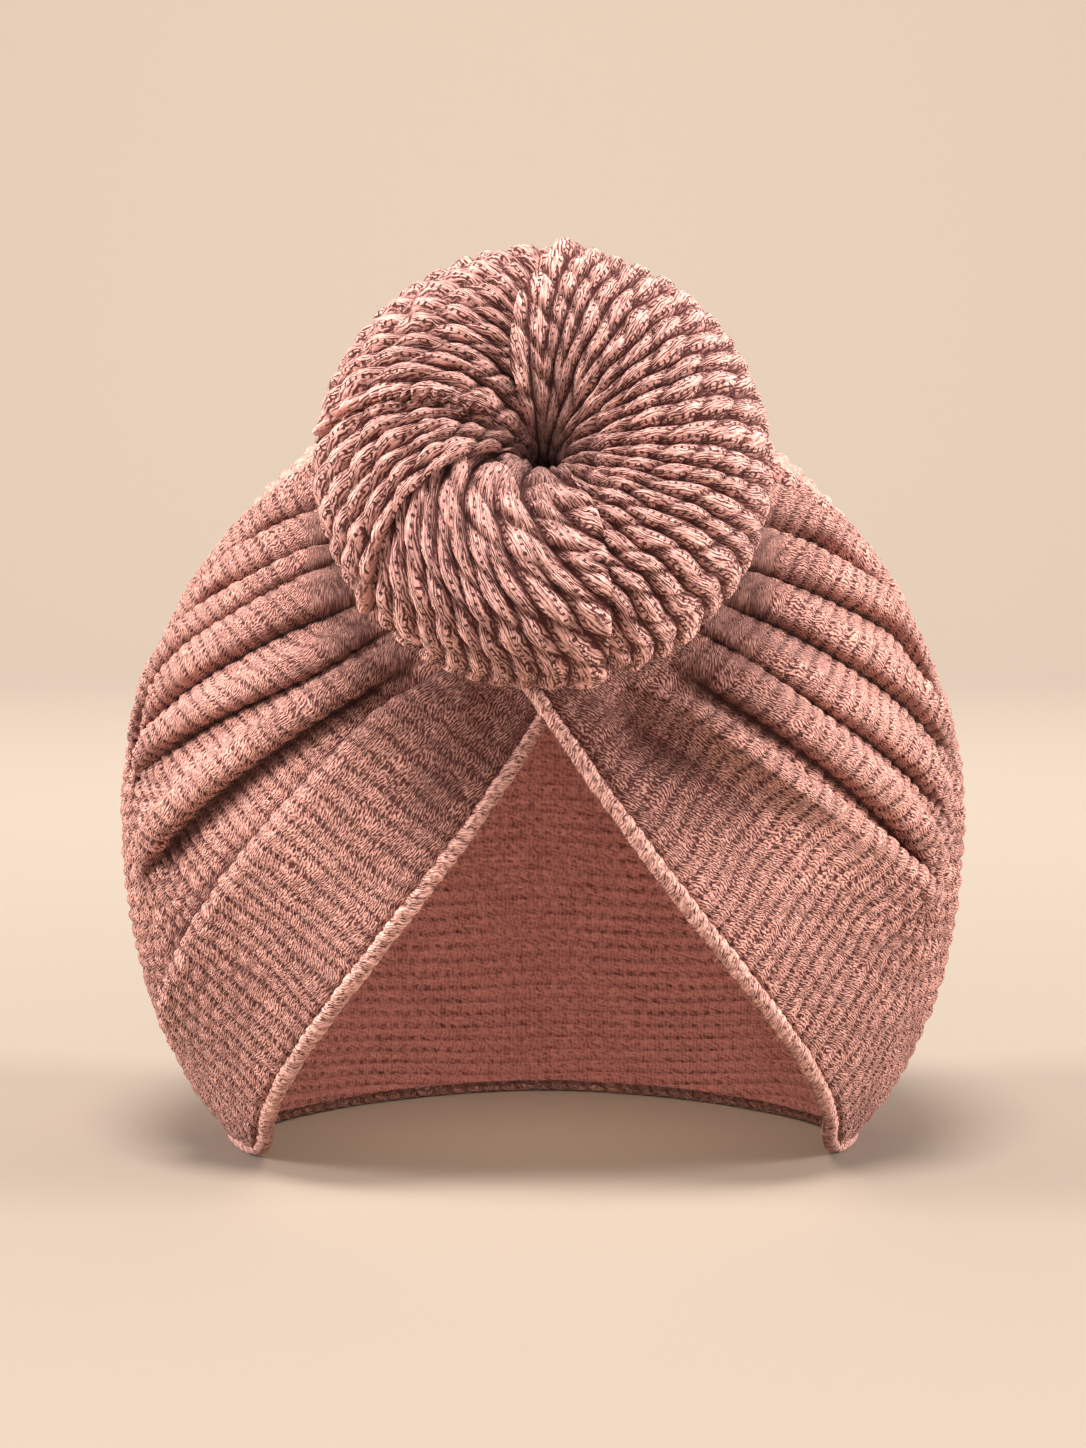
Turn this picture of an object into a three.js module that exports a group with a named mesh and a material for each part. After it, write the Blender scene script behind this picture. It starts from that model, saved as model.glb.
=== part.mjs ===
// Turban headwrap in a thick ribbed knit, with a wound top knot, held in its worn form.
// Millimetres, +Z up, X to the wearer's left, the face towards -Y. The origin is where the crown of the head
// touches the inside of the wrap.
import * as THREE from 'three';

// Crown: half sizes from its middle, which lies at the widest level
const crownHalfWidth = 94;
const crownFront = 104;
const crownBack = 106;
const crownRise = 102;
const crownRound = 1.85;
const hemDrop = 75;
const tuckDepth = 100.5;
const tuckRound = 2.3;
const napePoint = 0.6;

// Cloth
const wall = 3;
const gap = 0.3;
const edgingRadius = 1.7;
const hemRadius = 2;
const lapLift = 4.3;

// The knot's place on the crown, and the point that its folds fan round, as shares of a crown of radius 1
const knotElevation = 39;
const fanBack = 0.1;
const fanDrop = 0.55;
const neckAngle = 12;

// Rise of the cloth round the knot and the angle where it is gone, straight below the knot and straight above it
const neck = { riseBelow: 1, riseAbove: 5.5, endBelow: 24, endAbove: 38 };

// Front edges of the side panels and their seams to the back, as turns in degrees round the knot from straight
// down. Every such line starts at atKnot and bends towards atHem, which it reaches fanSpan degrees further out.
// The smaller its ease, the sooner it bends.
const fanSpan = 74;
const edges = {
  left: { atKnot: -27, atHem: 56, ease: 0.4 },
  right: { atKnot: -25, atHem: 58, ease: 0.4 },
};
const seam = { atKnot: 152, atHem: 92, ease: 0.5 };
const foldEase = 0.5;

// Folds of the side panels. atKnot and atHem bend the crest as they do an edge. height is a share of foldHeight,
// above and below are the widths of its two slopes as shares of foldWidth, and reach is how far from the knot
// it runs.
const foldHeight = 6;
const foldWidth = 9;
const foldStart = 13;
const foldRamp = 7;
const foldFade = 16;
const folds = {
  left: [
    { atKnot: 27, atHem: 75, height: 0.55, above: 0.3, below: 2.6, reach: 62 },
    { atKnot: 43, atHem: 95, height: 1.0, above: 0.9, below: 0.4, reach: 41 },
    { atKnot: 50, atHem: 113, height: 0.85, above: 0.8, below: 0.4, reach: 38 },
    { atKnot: 79, atHem: 109, height: 0.8, above: 0.6, below: 0.45, reach: 36 },
    { atKnot: 86, atHem: 117, height: 0.8, above: 0.55, below: 0.4, reach: 40 },
    { atKnot: 100, atHem: 123, height: 0.85, above: 0.6, below: 0.45, reach: 34 },
    { atKnot: 117, atHem: 128, height: 0.9, above: 0.6, below: 0.5, reach: 32 },
    { atKnot: 129, atHem: 135, height: 0.85, above: 0.6, below: 0.5, reach: 30 },
  ],
  right: [
    { atKnot: 18, atHem: 92, height: 1.0, above: 0.5, below: 0.5, reach: 48 },
    { atKnot: 46, atHem: 92, height: 0.9, above: 0.5, below: 0.5, reach: 42 },
    { atKnot: 57, atHem: 101, height: 0.8, above: 0.5, below: 0.4, reach: 38 },
    { atKnot: 78, atHem: 106, height: 0.8, above: 0.5, below: 0.4, reach: 38 },
    { atKnot: 92, atHem: 120, height: 0.85, above: 0.6, below: 0.45, reach: 34 },
    { atKnot: 112, atHem: 128, height: 0.9, above: 0.6, below: 0.5, reach: 32 },
    { atKnot: 129, atHem: 135, height: 0.85, above: 0.6, below: 0.5, reach: 30 },
  ],
};
const crownGathers = { count: 8, height: 1.2, reach: 50 };

// Where the right panel lies over the left one: full up to start, gone at end. Each gives way by half of lapLift.
const lap = { turnStart: 16, turnEnd: 30, angleStart: 28, angleEnd: 42 };

// Top knot: a ring of wound cloth, its section half as wide as ringHalfWidth and half as deep as ringHalfDepth.
// Its middle stands off the crown along its axis and is raised across it, and ringBackFill is how much deeper its
// back is at the top, where it settles into the slope of the crown.
const ringRadius = 24.6;
const ringHalfWidth = 22.3;
const ringHalfDepth = 23;
const ringBackFill = 14.5;
const ringElevation = 22;
const ringStandoff = 27.9;
const ringRaise = 7.5;
const ribHeight = 1.3;
const edgeLip = 1.2;

// Knot bands in turns round the ring, counted from the viewer's right: start and end at the rim, the turn that
// the two ends gain on their way into the hole, and the number of ribs
const bands = [
  { name: 'knot_band_right', start: -75, end: 81, startGain: 22, endGain: 40, ribs: 21 },
  { name: 'knot_band_top', start: 81, end: 171, startGain: 40, endGain: -18, ribs: 12 },
  { name: 'knot_band_left', start: 171, end: 218, startGain: -18, endGain: -34, ribs: 7 },
  { name: 'knot_band_bottom', start: 218, end: 285, startGain: -34, endGain: 22, ribs: 9 },
];

// Least width of a column, as a share of the mean one, and the angles between which the hem is looked for
const leastColumn = 0.35;
const hemSearch = { near: 30, far: 150, halvings: 40 };

// Steps of the meshes
const rows = 13;
const rowEase = 1.3;
const columnSteps = 2;
const backColumns = 24;
const hemSteps = 40;
const tubeSides = 6;
const ribSteps = 3;
const ringSteps = 14;

const clothColour = 0xb5776c;
const innerColour = 0x8f554f;

const degrees = Math.PI / 180;
const crownMiddle = new THREE.Vector3(0, 0, wall - crownRise);
const right = new THREE.Vector3(1, 0, 0);

const clamp01 = (x) => Math.min(1, Math.max(0, x));

function smooth(from, to, x) {
  const t = clamp01((x - from) / (to - from));
  return t * t * (3 - 2 * t);
}

// Crown surface: its distance from the middle along a direction
function crownRadius(d) {
  const down = Math.max(0, -d.z);
  const planRound = 2 - napePoint * down ** 2;
  const depth = d.y < 0 ? crownFront : crownBack;
  const across = Math.abs(d.x / crownHalfWidth) ** planRound;
  const along = Math.abs(d.y / depth) ** planRound;
  const plan = (across + along) ** (1 / planRound);
  const round = d.z > 0 ? crownRound : tuckRound;
  const height = d.z > 0 ? crownRise : tuckDepth;
  return (plan ** round + Math.abs(d.z / height) ** round) ** (-1 / round);
}

// Fan of directions round the knot: turn goes round it and angle away from it, both in degrees
const fanCentre = new THREE.Vector3(0, fanBack, -fanDrop);
const elevation = knotElevation * degrees;
const knotDirection = new THREE.Vector3(0, -Math.cos(elevation), Math.sin(elevation));
const fanAxis = knotDirection.clone().sub(fanCentre).normalize();
const fanDown = new THREE.Vector3(0, -fanAxis.z, fanAxis.y);

function fan(turn, angle) {
  const a = turn * degrees;
  const b = angle * degrees;
  const ray = fanAxis.clone().multiplyScalar(Math.cos(b));
  ray.addScaledVector(fanDown, Math.sin(b) * Math.cos(a));
  ray.addScaledVector(right, Math.sin(b) * Math.sin(a));
  const half = ray.dot(fanCentre);
  const reach = Math.sqrt(half * half - fanCentre.lengthSq() + 1) - half;
  const direction = fanCentre.clone().addScaledVector(ray, reach);
  return { direction, spread: reach * Math.sin(b) * crownHalfWidth };
}

// A point on the cloth: lift is its height over the bare crown
function clothPoint(turn, angle, lift) {
  const { direction } = fan(turn, angle);
  return direction.clone().multiplyScalar(crownRadius(direction) + lift).add(crownMiddle);
}

// Turn in degrees of something this wide in millimetres, at this angle from the knot
const turnOf = (width, angle) => width / fan(90, angle).spread / degrees;

// A line that leaves the knot at one turn and bends towards another
function bend(line, angle) {
  const share = Math.max(0, (angle - neckAngle) / fanSpan);
  return line.atKnot + (line.atHem - line.atKnot) * share ** (line.ease ?? foldEase);
}

// Turn of something this wide measured square to such a line, which slants across the fan
function turnBeside(width, line, angle) {
  const step = 0.5;
  const sideways = (bend(line, angle + step) - bend(line, angle - step)) * degrees * fan(90, angle).spread;
  const along = clothPoint(0, angle + step, 0).distanceTo(clothPoint(0, angle - step, 0));
  return turnOf(width * Math.hypot(1, sideways / along), angle);
}

// How much of a fold is left at this angle from the knot
function foldShare(fold, angle) {
  const start = smooth(foldStart, foldStart + foldRamp, angle);
  const end = smooth(fold.reach, fold.reach + foldFade, angle);
  return start * (1 - end);
}

// The columns across a side panel, from its front edge to its seam: turn and height of each at one angle
function panelColumns(side, angle) {
  const inset = turnBeside(2 * edgingRadius + gap, edges[side], angle);
  const columns = [{ turn: bend(edges[side], angle) + inset, height: 0 }];
  for (const fold of folds[side]) {
    const crest = bend(fold, angle);
    const share = foldShare(fold, angle);
    const below = turnOf(fold.below * foldWidth, angle);
    const above = turnOf(fold.above * foldWidth, angle);
    columns.push({ turn: crest - below, height: 0 });
    columns.push({ turn: crest, height: fold.height * foldHeight * share });
    columns.push({ turn: crest + above, height: 0 });
  }
  columns.push({ turn: bend(seam, angle) - turnOf(gap / 2, angle), height: 0 });
  return inOrder(columns);
}

// Neighbouring folds share their valley where they crowd together near the knot
function inOrder(columns) {
  const first = columns[0].turn;
  const last = columns[columns.length - 1].turn;
  const least = (leastColumn * (last - first)) / columns.length;
  for (let i = 1; i < columns.length; i += 1) {
    columns[i].turn = Math.max(columns[i].turn, columns[i - 1].turn + least);
  }
  columns[columns.length - 1].turn = last;
  for (let i = columns.length - 2; i > 0; i -= 1) {
    columns[i].turn = Math.min(columns[i].turn, columns[i + 1].turn - least);
  }
  return columns;
}

// Between two columns the height eases and the turn runs straight
function betweenColumns(columns, place) {
  const i = Math.min(columns.length - 2, Math.floor(place));
  const t = place - i;
  const eased = smooth(0, 1, t);
  const a = columns[i];
  const b = columns[i + 1];
  return { turn: a.turn + (b.turn - a.turn) * t, height: a.height + (b.height - a.height) * eased };
}

// Towards the knot the cloth rises to meet the back of the ring
function neckHeight(turn, angle) {
  const above = (1 - Math.cos(turn * degrees)) / 2;
  const rise = neck.riseBelow + (neck.riseAbove - neck.riseBelow) * above;
  const end = neck.endBelow + (neck.endAbove - neck.endBelow) * above;
  return rise * (1 - smooth(neckAngle, end, angle));
}

function lapHeight(side, turn, angle) {
  const half = side === 'left' ? -lapLift / 2 : lapLift / 2;
  const across = 1 - smooth(lap.turnStart, lap.turnEnd, turn);
  const along = 1 - smooth(lap.angleStart, lap.angleEnd, angle);
  return half * across * along;
}

// The angle at which a line from the knot comes down to a height over the hem plane
function angleAtHeight(turnAt, height, lift) {
  const level = crownMiddle.z - hemDrop + height;
  let { near, far } = hemSearch;
  for (let i = 0; i < hemSearch.halvings; i += 1) {
    const middle = (near + far) / 2;
    if (clothPoint(turnAt(middle), middle, lift).z > level) {
      near = middle;
    } else {
      far = middle;
    }
  }
  return (near + far) / 2;
}

// A closed shell from an outer and an inner grid of points, both given as rows
function shell(outer, inner) {
  const lines = outer.length;
  const columns = outer[0].length;
  const points = [...outer.flat(), ...inner.flat()];
  const at = (layer, r, c) => layer * lines * columns + r * columns + c;
  const faces = [];
  const quad = (a, b, c, d) => faces.push(a, b, c, a, c, d);
  for (let r = 0; r + 1 < lines; r += 1) {
    for (let c = 0; c + 1 < columns; c += 1) {
      quad(at(0, r, c), at(0, r + 1, c), at(0, r + 1, c + 1), at(0, r, c + 1));
      quad(at(1, r, c), at(1, r, c + 1), at(1, r + 1, c + 1), at(1, r + 1, c));
    }
    quad(at(0, r, 0), at(1, r, 0), at(1, r + 1, 0), at(0, r + 1, 0));
    quad(at(0, r, columns - 1), at(0, r + 1, columns - 1), at(1, r + 1, columns - 1), at(1, r, columns - 1));
  }
  for (let c = 0; c + 1 < columns; c += 1) {
    quad(at(0, 0, c), at(0, 0, c + 1), at(1, 0, c + 1), at(1, 0, c));
    quad(at(0, lines - 1, c), at(1, lines - 1, c), at(1, lines - 1, c + 1), at(0, lines - 1, c + 1));
  }
  return solid(points, faces);
}

// A closed tube: rings of points with a middle point at each end
function tube(rings, startPoint, endPoint) {
  const sides = rings[0].length;
  const points = [...rings.flat(), startPoint, endPoint];
  const faces = [];
  for (let r = 0; r + 1 < rings.length; r += 1) {
    for (let s = 0; s < sides; s += 1) {
      const next = (s + 1) % sides;
      const a = r * sides + s;
      const b = r * sides + next;
      faces.push(a, b, b + sides, a, b + sides, a + sides);
    }
  }
  const start = rings.length * sides;
  const last = (rings.length - 1) * sides;
  for (let s = 0; s < sides; s += 1) {
    const next = (s + 1) % sides;
    faces.push(start, next, s);
    faces.push(start + 1, last + s, last + next);
  }
  return solid(points, faces);
}

// The geometry of a closed body, turned inside out if its faces point in
function solid(points, faces) {
  let volume = 0;
  const cross = new THREE.Vector3();
  for (let i = 0; i < faces.length; i += 3) {
    cross.crossVectors(points[faces[i + 1]], points[faces[i + 2]]);
    volume += points[faces[i]].dot(cross);
  }
  const index = volume > 0 ? faces : [...faces].reverse();
  const geometry = new THREE.BufferGeometry();
  geometry.setAttribute('position', new THREE.Float32BufferAttribute(points.flatMap((p) => p.toArray()), 3));
  geometry.setIndex(index);
  geometry.computeVertexNormals();
  return geometry;
}

// A tube of round section along a line of places, each with its point and its outward direction
function roundTube(places, radius) {
  const rings = places.map(({ point, outward }, i) => {
    const before = places[Math.max(0, i - 1)].point;
    const after = places[Math.min(places.length - 1, i + 1)].point;
    const along = after.clone().sub(before).normalize();
    const sideways = new THREE.Vector3().crossVectors(along, outward).normalize();
    const up = new THREE.Vector3().crossVectors(sideways, along);
    return Array.from({ length: tubeSides }, (_, s) => {
      const a = (2 * Math.PI * (s + 0.5)) / tubeSides;
      const p = point.clone().addScaledVector(sideways, radius * Math.cos(a));
      return p.addScaledVector(up, radius * Math.sin(a));
    });
  });
  return tube(rings, places[0].point, places[places.length - 1].point);
}

// Rows crowd towards the knot, where the lines bend most
const rowShare = (r) => (r / rows) ** rowEase;

// Side panels
function sidePanel(side) {
  const sign = side === 'left' ? -1 : 1;
  const places = (folds[side].length * 3 + 1) * columnSteps;
  const outer = [];
  const inner = [];
  const hemHeight = 2 * hemRadius + gap;
  const place = (c, share, depth) => {
    const turnAt = (angle) => betweenColumns(panelColumns(side, angle), c / columnSteps).turn;
    const end = angleAtHeight(turnAt, hemHeight, -depth);
    const angle = neckAngle + (end - neckAngle) * share;
    const { turn, height } = betweenColumns(panelColumns(side, angle), c / columnSteps);
    const lift = height + lapHeight(side, turn, angle) + neckHeight(turn, angle);
    return clothPoint(sign * turn, angle, lift - depth);
  };
  for (let r = 0; r <= rows; r += 1) {
    const columns = Array.from({ length: places + 1 }, (_, c) => c);
    outer.push(columns.map((c) => place(c, rowShare(r), 0)));
    inner.push(columns.map((c) => place(c, rowShare(r), wall)));
  }
  return shell(outer, inner);
}

// Back shell, from seam to seam over the crown
function backShell() {
  const outer = [];
  const inner = [];
  const hemHeight = 2 * hemRadius + gap;
  const place = (c, share, depth) => {
    const turnAt = (angle) => {
      const half = 180 - bend(seam, angle) - turnOf(gap / 2, angle);
      return 180 + half * ((2 * c) / backColumns - 1);
    };
    const end = angleAtHeight(turnAt, hemHeight, -depth);
    const angle = neckAngle + (end - neckAngle) * share;
    const turn = turnAt(angle);
    const across = Math.sin((Math.PI * c) / backColumns);
    const waves = 0.5 - 0.5 * Math.cos((2 * Math.PI * crownGathers.count * c) / backColumns);
    const fade = 1 - smooth(foldStart, crownGathers.reach, angle);
    const lift = crownGathers.height * across * waves * fade + neckHeight(turn, angle);
    return clothPoint(turn, angle, lift - depth);
  };
  for (let r = 0; r <= rows; r += 1) {
    const columns = Array.from({ length: backColumns + 1 }, (_, c) => c);
    outer.push(columns.map((c) => place(c, rowShare(r), 0)));
    inner.push(columns.map((c) => place(c, rowShare(r), wall)));
  }
  return shell(outer, inner);
}

// Edging along a front edge, from the hem up to under the knot, in the same rows as the panel beside it
function edging(side) {
  const sign = side === 'left' ? -1 : 1;
  const centre = (angle) => bend(edges[side], angle) + turnBeside(edgingRadius, edges[side], angle);
  const far = angleAtHeight(centre, 2 * hemRadius + gap, 0);
  const places = [];
  for (let r = 1; r <= rows; r += 1) {
    const angle = neckAngle + (far - neckAngle) * rowShare(r);
    const turn = centre(angle);
    const lift = lapHeight(side, turn, angle) + neckHeight(turn, angle) - wall / 2;
    places.push({ point: clothPoint(sign * turn, angle, lift), outward: fan(sign * turn, angle).direction });
  }
  return roundTube(places, edgingRadius);
}

// Rolled hem, from the left tip round the nape to the right tip
function hemRoll() {
  const places = [];
  const startTurn = -tipTurn(edges.left);
  const endTurn = tipTurn(edges.right) - 360;
  for (let i = 0; i <= hemSteps; i += 1) {
    const turn = startTurn + (endTurn - startTurn) * (i / hemSteps);
    const angle = angleAtHeight(() => turn, hemRadius, 0);
    const point = clothPoint(turn, angle, -wall / 2);
    point.z = crownMiddle.z - hemDrop + hemRadius;
    places.push({ point, outward: new THREE.Vector3(0, 0, 1) });
  }
  return roundTube(places, hemRadius);
}

function tipTurn(edge) {
  const centre = (angle) => bend(edge, angle) + turnBeside(edgingRadius, edge, angle);
  return centre(angleAtHeight(centre, hemRadius, 0));
}

// Top knot
const ringTilt = ringElevation * degrees;
const ringAxis = new THREE.Vector3(0, -Math.cos(ringTilt), Math.sin(ringTilt));
const ringUp = new THREE.Vector3(0, Math.sin(ringTilt), Math.cos(ringTilt));
const ringCentre = clothPoint(0, 0, 0).addScaledVector(ringAxis, ringStandoff).addScaledVector(ringUp, ringRaise);

// A point on the ring's surface: around is the turn round its axis, section the angle round its tube
function ringPoint(around, section, swell) {
  const outward = (ringHalfWidth + swell) * Math.cos(section);
  const fill = section > Math.PI ? (ringBackFill * (1 + Math.sin(around))) / 2 : 0;
  const forward = (ringHalfDepth + fill + swell) * Math.sin(section);
  const distance = ringRadius + outward;
  const p = ringCentre.clone().addScaledVector(ringAxis, forward);
  p.addScaledVector(right, distance * Math.cos(around));
  return p.addScaledVector(ringUp, distance * Math.sin(around));
}

function knotBand(band) {
  const steps = band.ribs * ribSteps;
  const rings = [];
  for (let i = 0; i <= steps; i += 1) {
    const share = i / steps;
    const ring = [];
    for (let j = 0; j < ringSteps; j += 1) {
      const section = (2 * Math.PI * j) / ringSteps;
      const inward = (1 - Math.cos(section)) / 2;
      const start = band.start + band.startGain * inward;
      const end = band.end + band.endGain * inward;
      const distance = ringRadius + ringHalfWidth * Math.cos(section);
      const cut = (0.5 * gap) / distance / degrees;
      const around = (start + cut + (end - start - 2 * cut) * share) * degrees;
      const valley = i % ribSteps === 0 ? -ribHeight : 0;
      const room = clamp01(distance / ringRadius);
      const lip = edgeLip * Math.exp(-((1 - share) * steps) / ribSteps);
      ring.push(ringPoint(around, section, (valley + lip) * room));
    }
    rings.push(ring);
  }
  const middle = (ring) => ring.reduce((sum, p) => sum.add(p), new THREE.Vector3()).divideScalar(ring.length);
  return tube(rings, middle(rings[0]), middle(rings[rings.length - 1]));
}

// Assembly
const group = new THREE.Group();

function add(name, geometry, colour) {
  const material = new THREE.MeshStandardMaterial({ color: colour, roughness: 0.95, metalness: 0 });
  const mesh = new THREE.Mesh(geometry, material);
  mesh.name = name;
  group.add(mesh);
}

add('cap_back', backShell(), innerColour);
add('wrap_left', sidePanel('left'), clothColour);
add('wrap_right', sidePanel('right'), clothColour);
add('edging_left', edging('left'), clothColour);
add('edging_right', edging('right'), clothColour);
add('hem_roll', hemRoll(), clothColour);
for (const band of bands) {
  add(band.name, knotBand(band), clothColour);
}

export default group;
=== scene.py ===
import math

import bpy
import numpy as np
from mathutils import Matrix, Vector


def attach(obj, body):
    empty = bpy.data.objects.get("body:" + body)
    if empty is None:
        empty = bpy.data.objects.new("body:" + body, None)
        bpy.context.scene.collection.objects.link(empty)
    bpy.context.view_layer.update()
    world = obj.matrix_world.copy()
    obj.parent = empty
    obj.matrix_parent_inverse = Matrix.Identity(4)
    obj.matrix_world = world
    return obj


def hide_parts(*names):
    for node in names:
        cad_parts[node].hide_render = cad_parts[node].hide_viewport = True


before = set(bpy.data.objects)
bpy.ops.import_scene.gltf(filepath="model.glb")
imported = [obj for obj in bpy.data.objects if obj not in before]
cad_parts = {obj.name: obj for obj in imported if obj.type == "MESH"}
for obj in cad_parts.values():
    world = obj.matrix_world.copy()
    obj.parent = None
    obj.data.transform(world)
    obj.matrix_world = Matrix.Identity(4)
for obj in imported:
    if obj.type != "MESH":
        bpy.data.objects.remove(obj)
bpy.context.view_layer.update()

mm = 0.001
degrees = math.pi / 180
weld = 1e-6  # metres

# The crown as the solids have it, in millimetres. Its middle lies at the widest level.
# round, tuckRound and napePoint are exponents of its curves.
crown = {
    "halfWidth": 94,
    "front": 104,
    "back": 106,
    "rise": 102,
    "round": 1.85,
    "hemDrop": 75,
    "tuckDepth": 100.5,
    "tuckRound": 2.3,
    "napePoint": 0.6,
    "wall": 3,
    "gap": 0.3,
    "hemRadius": 2,
    "edgingRadius": 1.7,
}
crownMiddle = np.array([0, 0, crown["wall"] - crown["rise"]])
hemLevel = crownMiddle[2] - crown["hemDrop"]

# The fan of folds round the knot: turn goes round it from straight down, angle goes away from it, in degrees
fan = {"elevation": 39, "back": 0.1, "drop": 0.55, "start": 12, "span": 74, "halfStep": 0.5,
       "nearest": 30, "farthest": 150, "halvings": 40}
neck = {"riseBelow": 1, "riseAbove": 5.5, "endBelow": 24, "endAbove": 38}
lap = {"turnStart": 16, "turnEnd": 30, "angleStart": 28, "angleEnd": 42, "lift": 4.3}


def smooth(low, high, x):
    t = np.clip((x - low) / (high - low), 0, 1)
    return t * t * (3 - 2 * t)


def unit(v):
    return v / np.linalg.norm(v, axis=-1, keepdims=True)


def crownRadius(d):
    down = np.maximum(0, -d[..., 2])
    planRound = 2 - crown["napePoint"] * down ** 2
    depth = np.where(d[..., 1] < 0, crown["front"], crown["back"])
    across = np.abs(d[..., 0] / crown["halfWidth"]) ** planRound
    along = np.abs(d[..., 1] / depth) ** planRound
    plan = (across + along) ** (1 / planRound)
    curve = np.where(d[..., 2] > 0, crown["round"], crown["tuckRound"])
    height = np.where(d[..., 2] > 0, crown["rise"], crown["tuckDepth"])
    return (plan ** curve + np.abs(d[..., 2] / height) ** curve) ** (-1 / curve)


fanCentre = np.array([0, fan["back"], -fan["drop"]])
knotDirection = np.array([0, -math.cos(fan["elevation"] * degrees), math.sin(fan["elevation"] * degrees)])
fanAxis = unit(knotDirection - fanCentre)
fanDown = np.array([0, -fanAxis[2], fanAxis[1]])


def fanRay(turn, angle):
    a, b = turn * degrees, angle * degrees
    ray = np.cos(b)[..., None] * fanAxis
    ray = ray + (np.sin(b) * np.cos(a))[..., None] * fanDown
    ray[..., 0] += np.sin(b) * np.sin(a)
    half = ray @ fanCentre
    reach = np.sqrt(half * half - fanCentre @ fanCentre + 1) - half
    return fanCentre + reach[..., None] * ray, reach * np.sin(b) * crown["halfWidth"]


def clothPoint(turn, angle, lift):
    direction, spread = fanRay(turn, angle)
    return direction * (crownRadius(direction) + lift)[..., None] + crownMiddle


def turnOf(width, angle):  # degrees of turn for a width in millimetres
    return width / fanRay(90 + 0 * angle, angle)[1] / degrees


def bend(line, angle):
    share = np.maximum(0, (angle - fan["start"]) / fan["span"])
    return line["atKnot"] + (line["atHem"] - line["atKnot"]) * share ** line.get("ease", 0.5)


def turnBeside(width, line, angle):
    zero = 0 * angle
    before, after = angle - fan["halfStep"], angle + fan["halfStep"]
    sideways = (bend(line, after) - bend(line, before)) * degrees * fanRay(90 + zero, angle)[1]
    along = np.linalg.norm(clothPoint(zero, after, zero) - clothPoint(zero, before, zero), axis=-1)
    return turnOf(width * np.hypot(1, sideways / along), angle)


def neckHeight(turn, angle):
    above = (1 - np.cos(turn * degrees)) / 2
    rise = neck["riseBelow"] + (neck["riseAbove"] - neck["riseBelow"]) * above
    end = neck["endBelow"] + (neck["endAbove"] - neck["endBelow"]) * above
    return rise * (1 - smooth(fan["start"], end, angle))


def lapHeight(side, turn, angle):
    half = lap["lift"] / 2 if side == "right" else -lap["lift"] / 2
    across = 1 - smooth(lap["turnStart"], lap["turnEnd"], turn)
    return half * across * (1 - smooth(lap["angleStart"], lap["angleEnd"], angle))


def angleAtLevel(turnAt, count, above, lift=0):  # angle at which lines reach a height over the hem plane
    near, far = np.full(count, fan["nearest"]), np.full(count, fan["farthest"])
    for halving in range(fan["halvings"]):
        middle = (near + far) / 2
        high = clothPoint(turnAt(middle), middle, lift + 0 * middle)[..., 2] > hemLevel + above
        near, far = np.where(high, middle, near), np.where(high, far, middle)
    return middle


def ripple(a, b, seed, count=6):  # smooth unevenness between about -1 and 1
    dice = np.random.default_rng(seed)
    total = 0 * (a + b)
    for wave in range(count):
        heading = dice.uniform(0, 2 * math.pi)
        rate = dice.uniform(0.5, 1.6)
        total = total + np.sin(rate * (a * math.cos(heading) + b * math.sin(heading)) + dice.uniform(0, 6.28))
    return total / count ** 0.5


print("shapes ready")

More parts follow.
